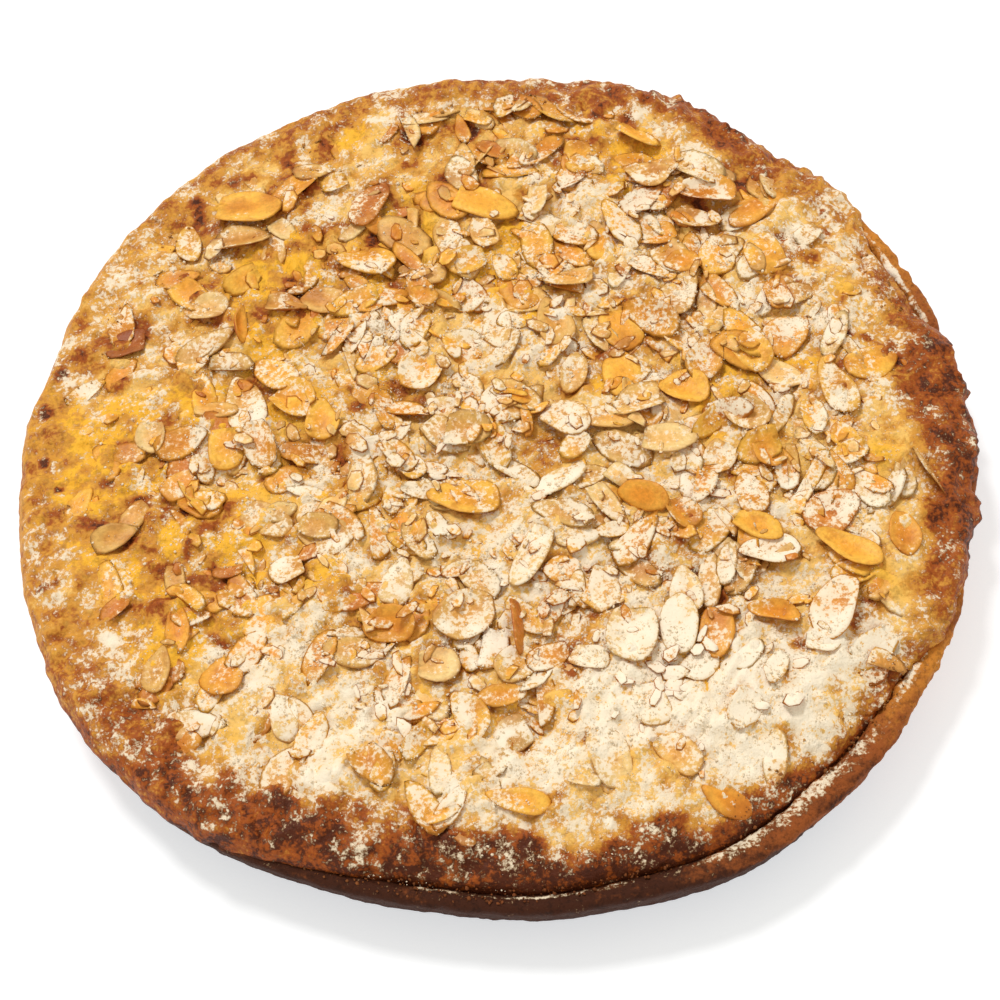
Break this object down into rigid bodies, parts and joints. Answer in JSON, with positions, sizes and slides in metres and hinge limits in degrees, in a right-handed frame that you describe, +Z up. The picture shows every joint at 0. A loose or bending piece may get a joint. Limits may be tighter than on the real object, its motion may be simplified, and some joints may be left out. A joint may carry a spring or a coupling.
{
  "type": "almond tart",
  "caption": "Round baked almond tart: a shallow shortcrust case, a domed filling with flaked almonds baked on top, and a dusting of icing sugar.",
  "frame": {"origin": "middle of the tart's box on the surface it stands on", "axes": "+Z up, through the tart's height; -Y towards the picture's near side, +X to its right"},
  "size_m": [0.2402, 0.2392, 0.037],
  "materials": {
    "pastry": "dry baked shortcrust, matt",
    "filling": "golden baked crumb with flaked almonds and icing sugar, matt"
  },
  "bodies": {
    "root": {"pastry_case": "pastry", "almond_filling": "filling"}
  },
  "joints": []
}
